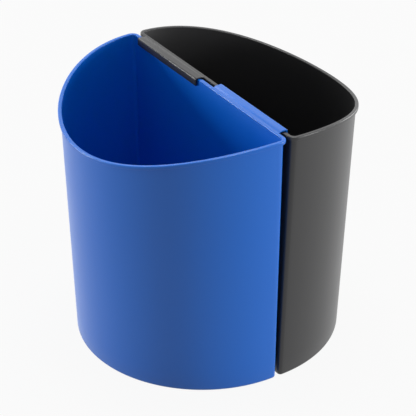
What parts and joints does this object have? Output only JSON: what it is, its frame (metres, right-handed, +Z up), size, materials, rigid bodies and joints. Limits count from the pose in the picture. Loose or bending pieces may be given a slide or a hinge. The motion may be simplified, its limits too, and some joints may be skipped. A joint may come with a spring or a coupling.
{
  "type": "double recycling bin",
  "caption": "Half-round open waste bins standing back to back, each hooked over the other's flat rim by a moulded ledge with a hanging lip; the rims dip along the curved walls.",
  "frame": {"origin": "on the floor, under the middle of the seam between the flat walls", "axes": "+X along the flat walls and the seam, +Y across the seam from the blue bin to the black bin, +Z up"},
  "size_m": [0.3364, 0.3588, 0.3314],
  "materials": {
    "blue_plastic": "fine-grained satin moulded polypropylene",
    "black_plastic": "fine-grained satin moulded polypropylene"
  },
  "bodies": {
    "blue": {"blue_bin": "blue_plastic"},
    "black": {"black_bin": "black_plastic"}
  },
  "joints": [
    {"name": "unhook_turn", "type": "hinge", "parent": "blue", "child": "black", "pos_m": [0, 0, 0.33], "axis": [0, 1, 0], "range_deg": [0, 35]}
  ]
}
